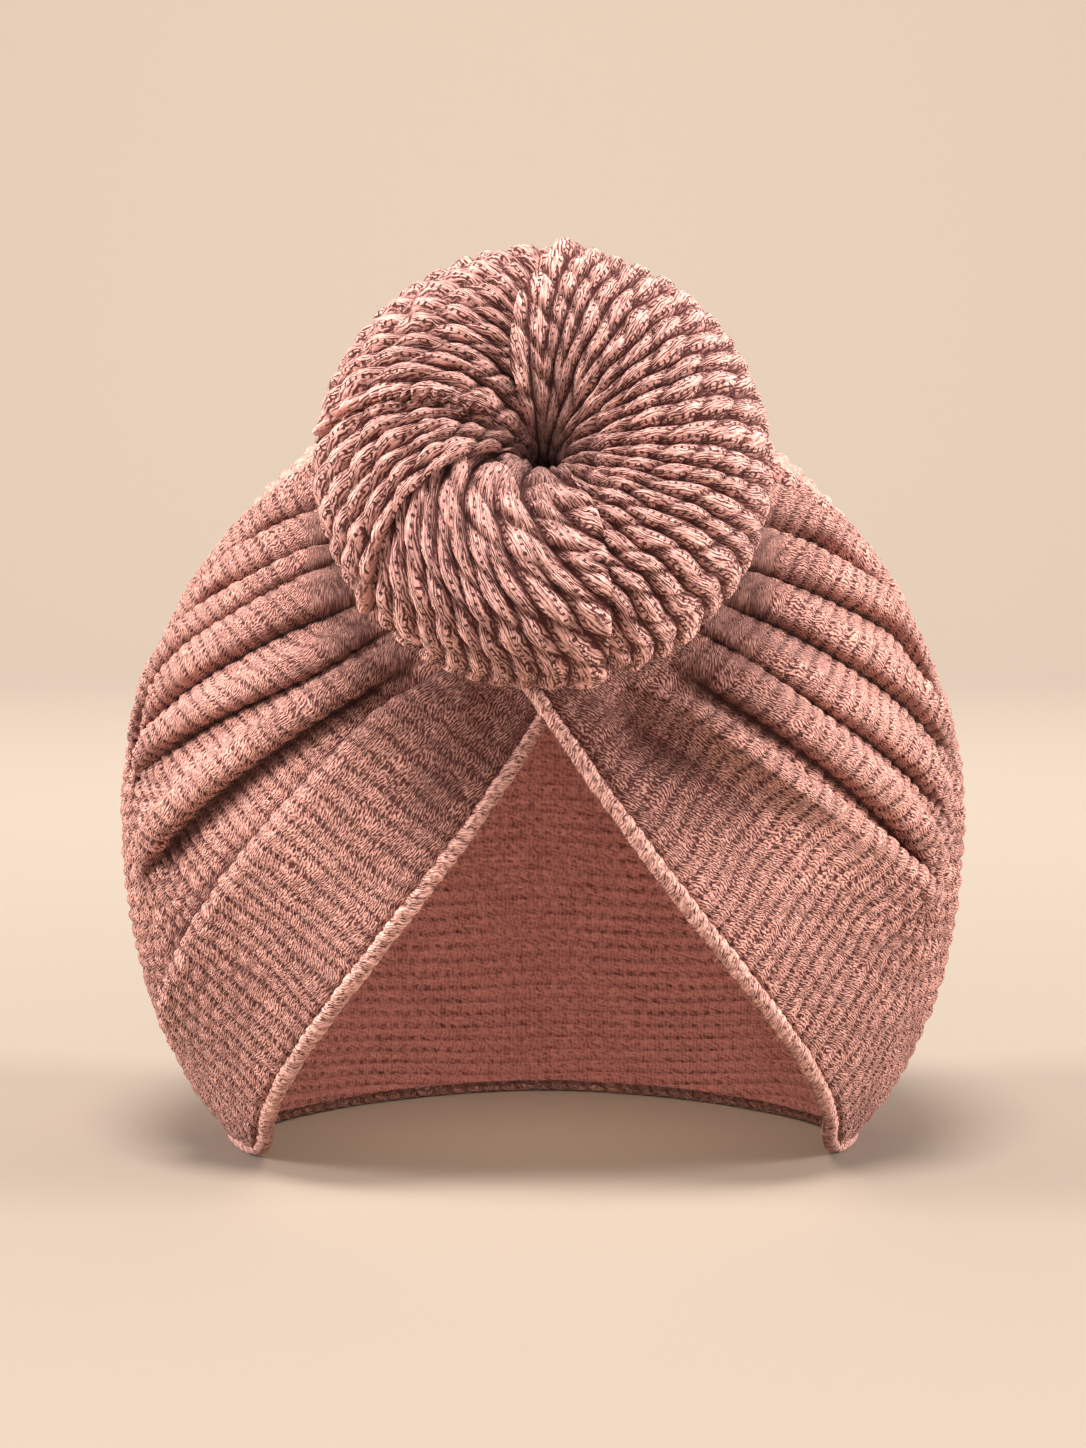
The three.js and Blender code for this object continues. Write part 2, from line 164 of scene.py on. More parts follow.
# Side panels: edge, folds and seam. A fold's crest leans over its lower side, or over its upper one where
# lean is -1. above, below and belowFar are the widths of its slopes and height its height, as shares of
# foldSize's. reach is the angle where it starts to fade. gain, valley and shoulder replace foldSize's values.
foldSize = {
    "height": 6, "width": 9, "start": 13, "ramp": 7, "fade": 16, "nose": 2.8, "valley": 2.2, "gain": 1.1,
    "shoulder": 0.45, "sag": 0.85, "least": 0.35, "widenStart": 26, "widenEnd": 42, "insideShare": 0.5,
}
seam = {"atKnot": 152, "atHem": 92}
panels = {
    "left": {
        "sign": -1,
        "edge": {"atKnot": -27, "atHem": 56, "ease": 0.4},
        "folds": [
            {"atKnot": 27, "atHem": 75, "height": 0.55, "above": 0.3, "below": 2.4, "reach": 59,
             "lean": -1, "gain": 1.6, "valley": 2.6},
            {"atKnot": 43, "atHem": 95, "height": 1.0, "above": 0.6, "below": 0.3, "reach": 43,
             "shoulder": 0.2},
            {"atKnot": 50, "atHem": 113, "height": 0.85, "above": 0.55, "below": 0.3, "reach": 38,
             "shoulder": 0.2},
            {"atKnot": 79, "atHem": 109, "height": 0.8, "above": 0.6, "below": 0.45, "reach": 36},
            {"atKnot": 86, "atHem": 117, "height": 0.8, "above": 0.55, "below": 0.4, "reach": 40},
            {"atKnot": 100, "atHem": 123, "height": 0.85, "above": 0.6, "below": 0.45, "reach": 34},
            {"atKnot": 117, "atHem": 128, "height": 0.9, "above": 0.6, "below": 0.5, "reach": 32},
            {"atKnot": 129, "atHem": 135, "height": 0.85, "above": 0.6, "below": 0.5, "reach": 30},
        ],
        "rowTurn": -38,
        "foldPull": (-0.5, 0.85),
    },
    "right": {
        "sign": 1,
        "edge": {"atKnot": -25, "atHem": 58, "ease": 0.4},
        "folds": [
            {"atKnot": 18, "atHem": 92, "height": 1.0, "above": 0.4, "below": 0.75, "belowFar": 2.4,
             "reach": 47, "lean": -1, "valley": 1.1},
            {"atKnot": 46, "atHem": 92, "height": 0.9, "above": 0.5, "below": 0.5, "reach": 42},
            {"atKnot": 57, "atHem": 101, "height": 0.8, "above": 0.5, "below": 0.4, "reach": 38},
            {"atKnot": 78, "atHem": 106, "height": 0.8, "above": 0.5, "below": 0.4, "reach": 38},
            {"atKnot": 92, "atHem": 120, "height": 0.85, "above": 0.6, "below": 0.45, "reach": 34},
            {"atKnot": 112, "atHem": 128, "height": 0.9, "above": 0.6, "below": 0.5, "reach": 32},
            {"atKnot": 129, "atHem": 135, "height": 0.85, "above": 0.6, "below": 0.5, "reach": 30},
        ],
        "rowTurn": 52,
        "foldPull": (0.5, 0.85),
    },
}
# knit also sets painted shade: darker at the feet of folds, along the front bands by the edge and below the
# knot
knit = {
    "row": 4.3, "bubble": 5.4, "height": 2.2, "belly": 0.85, "plainHeight": 0.7, "plainBelly": 0.5,
    "edgeHeight": 1.3, "plainness": 0.45, "bubbleStart": 34, "bubbleEnd": 54, "bandStart": 12, "bandEnd": 34,
    "level": 0.6, "valleyStart": 0.2, "valleyEnd": 1.7, "valleyShade": 0.8, "bandShade": 0.3, "neckStart": 18,
    "neckEnd": 36, "knotShadow": 0.5, "calmStart": 15, "calmEnd": 27,
}
# Unevenness of the rows and of the cloth, and the sizes of its waves
handmade = {"along": 0.9, "alongSize": 2.6, "across": 0.55, "acrossSize": 2.2, "wave": 1.0, "waveSize": 9}
chart = {"girth": 98, "height": 100}
slack = {
    "height": 0.5, "turn": 14, "angle": 5, "start": 16, "end": 30,
    "share": 0.12, "foldTurn": 30, "foldAngle": 6,
}
panelGrid = {"columns": 300, "rows": 290, "innerColumns": 110, "innerRows": 100}
sewn = {  # where the cloth meets its edging and hem
    "inset": 1.5, "dip": 1.1, "dipWidth": 3, "clothEnd": 1.3 * crown["hemRadius"],
}


def foldShare(fold, angle):
    start = smooth(foldSize["start"], foldSize["start"] + foldSize["ramp"], angle)
    return start * (1 - smooth(fold["reach"], fold["reach"] + foldSize["fade"], angle))


def controlColumns(panel, angle):  # turns and heights of edge, feet, crests and seam at each angle
    inset = turnBeside(sewn["inset"] * crown["edgingRadius"], panel["edge"], angle)
    turns = [bend(panel["edge"], angle) + inset]
    heights = [0 * angle]
    for fold in panel["folds"]:
        lean, crest = fold.get("lean", 1), bend(fold, angle)
        widened = smooth(foldSize["widenStart"], foldSize["widenEnd"], angle)
        below = fold["below"] + (fold.get("belowFar", fold["below"]) - fold["below"]) * widened
        turns.append(crest - turnOf(below * foldSize["width"], angle))
        turns.append(crest)
        turns.append(crest + turnOf(fold["above"] * foldSize["width"], angle))
        share = foldShare(fold, angle)
        crestHeight = fold["height"] * foldSize["height"] * share
        valley = -fold.get("valley", foldSize["valley"]) * share
        heights.append(valley if lean > 0 else valley * (1 - widened) * ("belowFar" in fold))
        heights.append(crestHeight * fold.get("gain", foldSize["gain"]))
        heights.append(valley if lean < 0 else fold.get("shoulder", foldSize["shoulder"]) * crestHeight)
    turns.append(bend(seam, angle) - turnOf(crown["gap"] / 2, angle))
    heights.append(0 * angle)
    last = turns[-1]
    least = foldSize["least"] * (last - turns[0]) / len(turns)
    for i in range(1, len(turns)):
        turns[i] = np.maximum(turns[i], turns[i - 1] + least)
    turns[-1] = last
    for i in range(len(turns) - 2, 0, -1):
        turns[i] = np.minimum(turns[i], turns[i + 1] - least)
    return np.array(turns), np.array(heights)


def foldedTurn(panel, places, angle, plain):  # turn and height at a place between two control columns
    turns, heights = controlColumns(panel, angle)
    i = np.minimum(len(turns) - 2, places.astype(int))
    t = places - i
    each = np.arange(len(places))
    low, high = turns[i, each], turns[i + 1, each]
    a, b = heights[i, each], heights[i + 1, each]
    turn = low + (high - low) * t
    if plain:
        return turn, (a + (b - a) * smooth(0, 1, t)) * foldSize["insideShare"]
    leans = np.array([fold.get("lean", 1) for fold in panel["folds"]] + [0])
    fold = (i - 1) // 3
    kind = np.where(i == 0, 0, (i - 1) % 3 + 1)  # 1 rises to a crest, 2 falls from it, 3 is plain cloth
    over = ((kind == 1) & (leans[fold] > 0)) | ((kind == 2) & (leans[fold] < 0))
    top, foot = np.maximum(a, b), np.minimum(a, b)
    climb = np.where(a > b, 1 - t, t)
    slow = np.where((kind == 1) & (leans[fold] < 0), 0.5 * climb + 0.5 * climb ** 3, smooth(0, 1, climb))
    ease = np.where(over, np.sin(climb * math.pi / 2) ** 0.8, slow)
    height = foot + (top - foot) * ease
    height = np.where(kind == 3, height * (1 - foldSize["sag"] * np.sin(math.pi * t)), height)
    nose = foldSize["nose"] * top / foldSize["height"] * np.sin(math.pi * climb) * leans[fold]
    turn = turn - np.where(over, turnOf(nose, angle), 0)
    return turn, height


def shareColumns(panel, count):  # spreads the grid's columns by the widest stretch of cloth they cover
    angles = np.linspace(fan["start"], 100, 40)
    turns = controlColumns(panel, angles)[0]
    widths = np.max(np.diff(turns, axis=0) * degrees * fanRay(90 + 0 * angles, angles)[1], axis=1)
    total = np.concatenate([[0], np.cumsum(np.maximum(widths, 2.5))])
    return np.interp(np.linspace(0, total[-1], count), total, np.arange(len(total)))


def panelPoints(side, count, rows, isInside):
    panel = panels[side]
    places = shareColumns(panel, count)
    depth = crown["wall"] if isInside else 0

    def turnAt(angle):
        return foldedTurn(panel, places, angle, True)[0]

    end = angleAtLevel(turnAt, count, sewn["clothEnd"], -depth)
    points, turns, angles, folded = [], [], [], []
    for share in np.linspace(0, 1, rows):
        angle = fan["start"] + (end - fan["start"]) * share
        turn, height = foldedTurn(panel, places, angle, isInside)
        uneven = slack["height"] * ripple(turn / slack["turn"], angle / slack["angle"], 3)
        uneven = uneven * smooth(slack["start"], slack["end"], angle)
        fromEdge = (turn - turn[0]) / turnOf(sewn["dipWidth"], angle)
        uneven = uneven - sewn["dip"] * (1 - smooth(0, 1, fromEdge))
        lift = height * (1 + slack["share"] * ripple(turn / slack["foldTurn"], angle / slack["foldAngle"], 5))
        lift = lift + lapHeight(side, turn, angle) + neckHeight(turn, angle) + (0 if isInside else uneven)
        points.append(clothPoint(panel["sign"] * turn, angle, lift - depth))
        turns.append(turn)
        angles.append(angle)
        folded.append(height)
    return np.array(points), np.array(turns), np.array(angles), np.array(folded)


def headChart(points, ahead=-1):  # distance round the head and up it, from the middle of the front or back
    p = points - crownMiddle
    flat = np.hypot(p[..., 0], p[..., 1])
    roundHead = np.arctan2(p[..., 0], ahead * p[..., 1]) * np.minimum(flat, chart["girth"])
    up = np.arctan2(p[..., 2], flat) * chart["height"]
    return roundHead, up


def gridNormals(points):
    along = np.gradient(points, axis=1)
    down = np.gradient(points, axis=0)
    return unit(np.cross(along, down))


def scatter(n, seed):  # a fixed chance number from 0 to 1 for each whole number
    return np.modf(np.abs(np.sin(n * 12.9898 + seed) * 43758.5453))[0]


def knitRelief(across, along, belly):  # rows of scale-like bubbles, steep below, from 0 in the grooves to 1
    row = np.floor(across / knit["row"])
    x = across / knit["row"] - row
    y = along / knit["bubble"] + 0.5 * (row % 2) + 0.35 * scatter(row, 3)
    chance = scatter(row * 7.13 + np.floor(y) * 3.71, 5)
    swell = np.sin(math.pi * x ** 0.65) ** 0.5
    bubble = np.abs(np.sin(math.pi * y)) ** 0.5
    return swell * (1 - belly + belly * bubble) * (0.72 + 0.28 * chance)


def knitPlace(roundHead, up, heading):  # distances across and along the rows of uneven, hand-wound cloth
    along = roundHead * math.cos(heading) + up * math.sin(heading)
    across = up * math.cos(heading) - roundHead * math.sin(heading)
    size, fine, wide = handmade["alongSize"], handmade["acrossSize"], handmade["waveSize"]
    along = along + handmade["along"] * ripple(roundHead / size, up / size, 12)
    across = across + handmade["across"] * ripple(roundHead / fine, up / fine, 11)
    across = across + handmade["wave"] * ripple(roundHead / wide, up / wide, 13)
    return across, along


def placeGrid(points, name):  # a grid primitive, moved onto its points
    rows, columns = points.shape[:2]
    bpy.ops.object.select_all(action="DESELECT")
    bpy.ops.mesh.primitive_grid_add(x_subdivisions=columns - 1, y_subdivisions=rows - 1, size=1)
    piece = bpy.context.object
    piece.name = name
    piece.data.vertices.foreach_set("co", (points * mm).astype(np.float32).ravel())
    piece.data.update()
    return piece


def keepKnit(piece, across, along, height, calm=0, inner=0):  # place in the knit, relief that also carries painted shade, calmed eyelets, inner side (painted darker)
    attribute = piece.data.attributes.new("knit", "FLOAT_VECTOR", "POINT")
    values = np.stack([across, along, height], -1).astype(np.float32)
    attribute.data.foreach_set("vector", values.ravel())
    for name, value in (("calm", calm), ("inner", inner)):
        attribute = piece.data.attributes.new(name, "FLOAT", "POINT")
        attribute.data.foreach_set("value", (value + 0 * height).astype(np.float32).ravel())


def closeShell(outer, inner):  # joins an outer and an inner grid into one closed cloth
    bpy.ops.object.select_all(action="DESELECT")
    inner.select_set(True)
    outer.select_set(True)
    bpy.context.view_layer.objects.active = outer
    bpy.ops.object.join()
    bpy.ops.object.mode_set(mode="EDIT")
    bpy.ops.mesh.select_mode(type="EDGE")
    bpy.ops.mesh.select_all(action="DESELECT")
    bpy.ops.mesh.select_non_manifold()
    bpy.ops.mesh.bridge_edge_loops()
    bpy.ops.mesh.select_all(action="SELECT")
    bpy.ops.mesh.normals_make_consistent(inside=False)
    bpy.ops.object.mode_set(mode="OBJECT")
    bpy.ops.object.shade_smooth()
    return outer


def mergeShell(piece):  # welds a grid whose first and last columns meet
    bpy.ops.object.select_all(action="DESELECT")
    piece.select_set(True)
    bpy.context.view_layer.objects.active = piece
    bpy.ops.object.mode_set(mode="EDIT")
    bpy.ops.mesh.select_all(action="SELECT")
    bpy.ops.mesh.remove_doubles(threshold=weld)
    bpy.ops.mesh.normals_make_consistent(inside=False)
    bpy.ops.object.mode_set(mode="OBJECT")
    bpy.ops.object.shade_smooth()
    return piece


inside = {"ridge": 3.4, "height": 0.9}


def innerRelief(up, roundHead):  # wavy ridges on the inside, from 0 in the grooves to 1
    place = up / inside["ridge"] + 0.35 * ripple(roundHead / 9, up / 16, 21)
    return np.abs(np.sin(math.pi * place)) ** 0.6


def makePanel(side):
    panel = panels[side]
    points, turns, angles, folded = panelPoints(side, panelGrid["columns"], panelGrid["rows"], False)
    roundHead, up = headChart(points)
    bare = clothPoint(panel["sign"] * turns, angles, 0 * turns)
    extra = np.linalg.norm(np.diff(points, axis=1), axis=-1) - np.linalg.norm(np.diff(bare, axis=1), axis=-1)
    hidden = np.concatenate([np.zeros((len(points), 1)), np.cumsum(extra, axis=1)], axis=1)  # cloth in folds
    roundHead = roundHead + hidden * panel["foldPull"][0]
    up = up + hidden * panel["foldPull"][1]
    across, along = knitPlace(roundHead, up, panel["rowTurn"] * degrees)
    nearEdge = 1 - smooth(knit["bandStart"], knit["bandEnd"], turns - bend(panel["edge"], angles))
    far = smooth(knit["bubbleStart"], knit["bubbleEnd"], angles)
    bubbling = far * (1 - nearEdge)
    relief = knitRelief(across, along, knit["plainBelly"] + (knit["belly"] - knit["plainBelly"]) * bubbling)
    normals = gridNormals(points) * -panel["sign"]
    height = knit["plainHeight"] + (knit["height"] - knit["plainHeight"]) * bubbling
    height = height + (knit["edgeHeight"] - knit["plainHeight"]) * far * nearEdge
    points = points + normals * ((relief - knit["level"]) * height)[..., None]
    relief = 1 - (1 - relief) * (1 - knit["plainness"] * (1 - bubbling))
    # painted shade kept with the relief: darker at fold feet, along the front bands by the edge and in the
    # knot's shadow below it
    relief = relief * (1 - knit["valleyShade"] * smooth(knit["valleyStart"], knit["valleyEnd"], -folded))
    relief = relief * (1 - knit["bandShade"] * nearEdge)
    relief = relief * (1 - knit["knotShadow"] * (1 - smooth(knit["neckStart"], knit["neckEnd"], angles)))
    outer = placeGrid(points, "wrap_" + side + "_cloth")
    keepKnit(outer, across, along, relief, 1 - smooth(knit["calmStart"], knit["calmEnd"], angles))
    points, turns, angles, folded = panelPoints(side, panelGrid["innerColumns"], panelGrid["innerRows"], True)
    roundHead, up = headChart(points)
    relief = innerRelief(up, roundHead)
    normals = gridNormals(points) * -panel["sign"]
    points = points - normals * ((relief - 0.5) * inside["height"])[..., None]
    inner = placeGrid(points, "inner")
    keepKnit(inner, up, roundHead, relief, 0, 1)
    return closeShell(outer, inner)


# Back of the cap, from seam to seam over the crown
back = {
    "columns": 300, "rows": 200, "innerColumns": 120, "innerRows": 260, "coarseRows": 0.4, "coarseShare": 0.6,
    "gathers": 8, "gatherHeight": 1.6, "reach": 50,
}


def backPoints(count, shares, isInside):
    depth = crown["wall"] if isInside else 0
    place = np.linspace(-1, 1, count)

    def turnAt(angle):
        return 180 + (180 - bend(seam, angle) - turnOf(crown["gap"] / 2, angle)) * place

    end = angleAtLevel(turnAt, count, sewn["clothEnd"], -depth)
    points = []
    for share in shares:
        angle = fan["start"] + (end - fan["start"]) * share
        waves = 0.5 - 0.5 * np.cos(math.pi * back["gathers"] * (place + 1))
        fade = np.cos(math.pi * place / 2) * (1 - smooth(foldSize["start"], back["reach"], angle))
        lift = back["gatherHeight"] * waves * fade + neckHeight(turnAt(angle), angle)
        points.append(clothPoint(turnAt(angle), angle, lift - depth))
    return np.array(points)


def makeBack():
    points = backPoints(back["columns"], np.linspace(0, 1, back["rows"]), False)
    across, along = knitPlace(*headChart(points, 1), 0)
    relief = knitRelief(across, along, knit["belly"])
    points = points - gridNormals(points) * ((relief - knit["level"]) * knit["height"])[..., None]
    outer = placeGrid(points, "cap_back_cloth")
    keepKnit(outer, across, along, relief)
    evenly = np.linspace(0, 1, back["innerRows"])
    shares = np.interp(evenly, [0, back["coarseRows"], 1], [0, back["coarseShare"], 1])
    points = backPoints(back["innerColumns"], shares, True)
    roundHead, up = headChart(points, 1)
    relief = innerRelief(up, roundHead)
    points = points + gridNormals(points) * ((relief - 0.5) * inside["height"])[..., None]
    inner = placeGrid(points, "inner")
    keepKnit(inner, up, roundHead, relief, 0, 1)
    return closeShell(outer, inner)


# Tubes: front edgings and the rolled hem
tubeGrid = {"sides": 21, "edgingRows": 300, "cornerRows": 28, "hemRows": 620}
stitch = {"pitch": 3.9, "height": 0.75, "scallop": 4.5, "scallopHeight": 0.4, "corner": 9, "cornerExtra": 4,
          "cornerRise": 8}


def makeTube(name, centres, outward, radius, relief):  # relief takes the distance along and the angle round
    alongLine = unit(np.gradient(centres, axis=0))
    sideways = unit(np.cross(alongLine, outward))
    up = np.cross(sideways, alongLine)
    length = np.concatenate([[0], np.cumsum(np.linalg.norm(np.diff(centres, axis=0), axis=1))])
    angle = np.linspace(0, 2 * math.pi, tubeGrid["sides"])
    s, a = np.meshgrid(length, angle, indexing="ij")
    swell, across, height = relief(s, a)
    fromTip = np.minimum(s, length[-1] - s)
    tip = np.sqrt(np.clip(1 - (1 - np.minimum(fromTip / radius, 1)) ** 2, 0, 1))
    size = (radius + swell) * tip
    points = centres[:, None] + sideways[:, None] * (size * np.cos(a))[..., None]
    points = points + up[:, None] * (size * np.sin(a))[..., None]
    points[:, -1] = points[:, 0]
    tube = placeGrid(points, name)
    keepKnit(tube, across, s, height)
    return mergeShell(tube)


def overlock(s, a):  # slanting loops round an edging
    place = s / stitch["pitch"] + a / (2 * math.pi) + 0.35 * ripple(s / 5, a, 41)
    loop = np.abs(np.sin(math.pi * place)) ** 0.7 * (0.75 + 0.25 * ripple(s / 2.5, 2 * np.cos(a), 42))
    fine = np.abs(np.sin(math.pi * (place * 2.5 - a / math.pi))) ** 0.8
    height = np.clip(0.75 * loop + 0.3 * fine, 0, 1)
    return (height - 0.6) * stitch["height"], a * crown["edgingRadius"], height


def scallops(s, a):  # loops of the knit that show round the hem
    place = s / stitch["scallop"] + 0.1 * np.sin(s / 7)
    loop = np.abs(np.sin(math.pi * (place + 0.25 * np.sin(a)))) ** 0.6
    return (loop - 1) * stitch["scallopHeight"], a * crown["hemRadius"], loop


hair = {
    "count": 260, "radius": 0.06, "length": (0.7, 2.4), "fromEnd": 4, "rootShare": 0.8, "spread": 0.9,
    "heading": (-0.2 * math.pi, 1.2 * math.pi), "clearance": 0.2,
}


def addHairs(tube, centres, outward, seed):  # loose ends of yarn, copies of one thin cone, on an edging
    dice = np.random.default_rng(seed)
    at = dice.integers(hair["fromEnd"], len(centres) - hair["fromEnd"], hair["count"])
    along = unit(np.gradient(centres, axis=0))[at]
    side = np.cross(along, outward[at])
    heading = dice.uniform(*hair["heading"], hair["count"])[:, None]
    out = side * np.cos(heading) + outward[at] * np.sin(heading)
    root = centres[at] + out * crown["edgingRadius"] * hair["rootShare"]
    lean = unit(out + along * dice.normal(0, hair["spread"], (hair["count"], 1)))
    tips = root + lean * dice.uniform(*hair["length"], (hair["count"], 1))
    tips[:, 2] = np.maximum(tips[:, 2], hemLevel + hair["clearance"])
    bpy.ops.object.select_all(action="DESELECT")
    bpy.ops.mesh.primitive_cone_add(vertices=3, radius1=hair["radius"], radius2=0, depth=1)
    one = bpy.context.object
    shape = np.array([corner.co[:] for corner in one.data.vertices])
    faces = [tuple(face.vertices) for face in one.data.polygons]
    bpy.ops.object.delete()
    across = unit(np.cross(lean, along))
    third = np.cross(lean, across)
    corners = root[:, None] + (tips - root)[:, None] * (shape[:, 2:] + 0.5)
    corners = corners + across[:, None] * shape[:, :1] + third[:, None] * shape[:, 1:2]
    mesh = bpy.data.meshes.new("hairs")
    each = len(shape)
    allFaces = [tuple(corner + each * i for corner in face) for i in range(hair["count"]) for face in faces]
    mesh.from_pydata((corners.reshape(-1, 3) * mm).tolist(), [], allFaces)
    hairs = bpy.data.objects.new("hairs", mesh)
    bpy.context.scene.collection.objects.link(hairs)
    zeros = np.zeros(each * hair["count"])
    keepKnit(hairs, zeros, zeros, zeros + 1, 1)
    bpy.ops.object.select_all(action="DESELECT")
    hairs.select_set(True)
    tube.select_set(True)
    bpy.context.view_layer.objects.active = tube
    bpy.ops.object.join()
    return tube


def edgeTurn(panel, angle):
    return bend(panel["edge"], angle) + turnBeside(crown["edgingRadius"], panel["edge"], angle)


def hemCentres():  # from the left tip round the nape to the right tip
    tips = []
    for panel in panels.values():
        angle = angleAtLevel(lambda a: edgeTurn(panel, a), 1, crown["hemRadius"])
        tips.append(edgeTurn(panel, angle)[0])
    turn = np.linspace(-tips[0], tips[1] - 360, tubeGrid["hemRows"])
    angle = angleAtLevel(lambda a: turn, len(turn), crown["hemRadius"])
    centres = clothPoint(turn, angle, 0 * turn - crown["wall"] / 2)
    centres[:, 2] = hemLevel + crown["hemRadius"]
    return centres


def makeHem():
    centres = hemCentres()[stitch["corner"]:-stitch["corner"]]
    outward = np.zeros_like(centres)
    outward[:, 2] = 1
    return makeTube("hem_roll_loops", centres, outward, crown["hemRadius"], scallops)


def makeEdging(side):
    panel = panels[side]
    far = angleAtLevel(lambda a: edgeTurn(panel, a), 1, stitch["cornerRise"])[0]
    angle = np.linspace(fan["start"], far, tubeGrid["edgingRows"])
    turn = edgeTurn(panel, angle)
    lift = lapHeight(side, turn, angle) + neckHeight(turn, angle) - crown["wall"] / 2
    centres = clothPoint(panel["sign"] * turn, angle, lift)
    hemLine = hemCentres()[:: 1 if side == "left" else -1]
    t = np.linspace(0, 1, tubeGrid["cornerRows"])[1:, None]
    turnEnd = hemLine[stitch["corner"] + stitch["cornerExtra"]]
    turned = centres[-1] * (1 - t) ** 2 + hemLine[0] * 2 * t * (1 - t) + turnEnd * t ** 2
    centres = np.concatenate([centres, turned])
    outward = unit(centres - crownMiddle)
    tube = makeTube("edging_" + side + "_stitches", centres, outward, crown["edgingRadius"], overlock)
    return addHairs(tube, centres, outward, 51 if side == "left" else 52)


# Top knot: a ring of four wound bands, each made of twisted ropes of knit
knot = {
    "radius": 24.6, "halfWidth": 22.3, "halfDepth": 23, "backFill": 14.5, "elevation": 22, "standoff": 27.9,
    "raise": 7.5, "ropes": 49, "depth": 3.3, "leaf": 8.5, "visibleStart": -60, "visibleEnd": 200,
    "columns": 250, "hiddenColumns": 16, "rowsPerDegree": 2.1, "under": 2.4, "underReach": 7, "bottom": 1.2,
    "level": 0.78, "raiseReach": 4, "overReach": 3, "edge": 1.3, "frillReach": 2.2, "frillLift": 0.7,
    "frillOver": 0.6, "room": 13, "leastRoom": 0.3, "mergeSoft": 0.08, "againSoft": 0.06,
}
bands = [
    {"name": "knot_band_right", "start": -75, "end": 81, "startGain": 22, "endGain": 40, "swirlStart": 25,
     "swirlEnd": -18, "merge": 0.3, "mergeAgain": 0.1, "overhang": 1.6, "raise": 1.6, "frill": 0},
    {"name": "knot_band_top", "start": 81, "end": 171, "startGain": 40, "endGain": -18, "swirlStart": 46,
     "swirlEnd": 26, "merge": 0.4, "mergeAgain": 0.1, "overhang": 1.4, "raise": 0.5, "frill": 1},
    {"name": "knot_band_left", "start": 171, "end": 218, "startGain": -18, "endGain": -34, "swirlStart": 26,
     "swirlEnd": 38, "merge": 0.45, "mergeAgain": 0.2, "overhang": 1.6, "raise": 1.2, "frill": 0},
    {"name": "knot_band_bottom", "start": 218, "end": 285, "startGain": -34, "endGain": 22, "swirlStart": 88,
     "swirlEnd": 30, "merge": 0.62, "mergeAgain": 0.3, "overhang": 1.4, "raise": 0.8, "frill": 0},
]
knotTilt = knot["elevation"] * degrees
ringAxis = np.array([0, -math.cos(knotTilt), math.sin(knotTilt)])
ringUp = np.array([0, math.sin(knotTilt), math.cos(knotTilt)])
knotFoot = clothPoint(np.zeros(1), np.zeros(1), np.zeros(1))[0]
ringCentre = knotFoot + ringAxis * knot["standoff"] + ringUp * knot["raise"]


def ringPoint(around, section, swell):
    fill = np.where(np.sin(section) < 0, knot["backFill"] * (1 + np.sin(around)) / 2, 0)
    forward = (knot["halfDepth"] + fill + swell) * np.sin(section)
    distance = knot["radius"] + (knot["halfWidth"] + swell) * np.cos(section)
    p = ringCentre + ringAxis * forward[..., None] + ringUp * (distance * np.sin(around))[..., None]
    p[..., 0] += distance * np.cos(around)
    return p


def ropeRelief(phase, s):  # rounded ropes of leaf-shaped twists, from 0 in the valleys to 1
    n = np.floor(phase)
    x = phase - n
    chance = scatter(n, 1)
    q = s / (knot["leaf"] * (0.8 + 0.5 * chance)) + 0.75 * x + 9 * chance
    f = q - np.floor(q)
    leaf = smooth(0, 0.18, f) * (1 - smooth(0.7, 1, f))
    skew = np.clip(x, 0, 1) ** (1 + 1.0 * (f - 0.5))
    return np.sin(math.pi * skew) ** 0.6 * (0.47 + 0.45 * leaf + 0.14 * scatter(n + 17 * np.floor(q), 2))


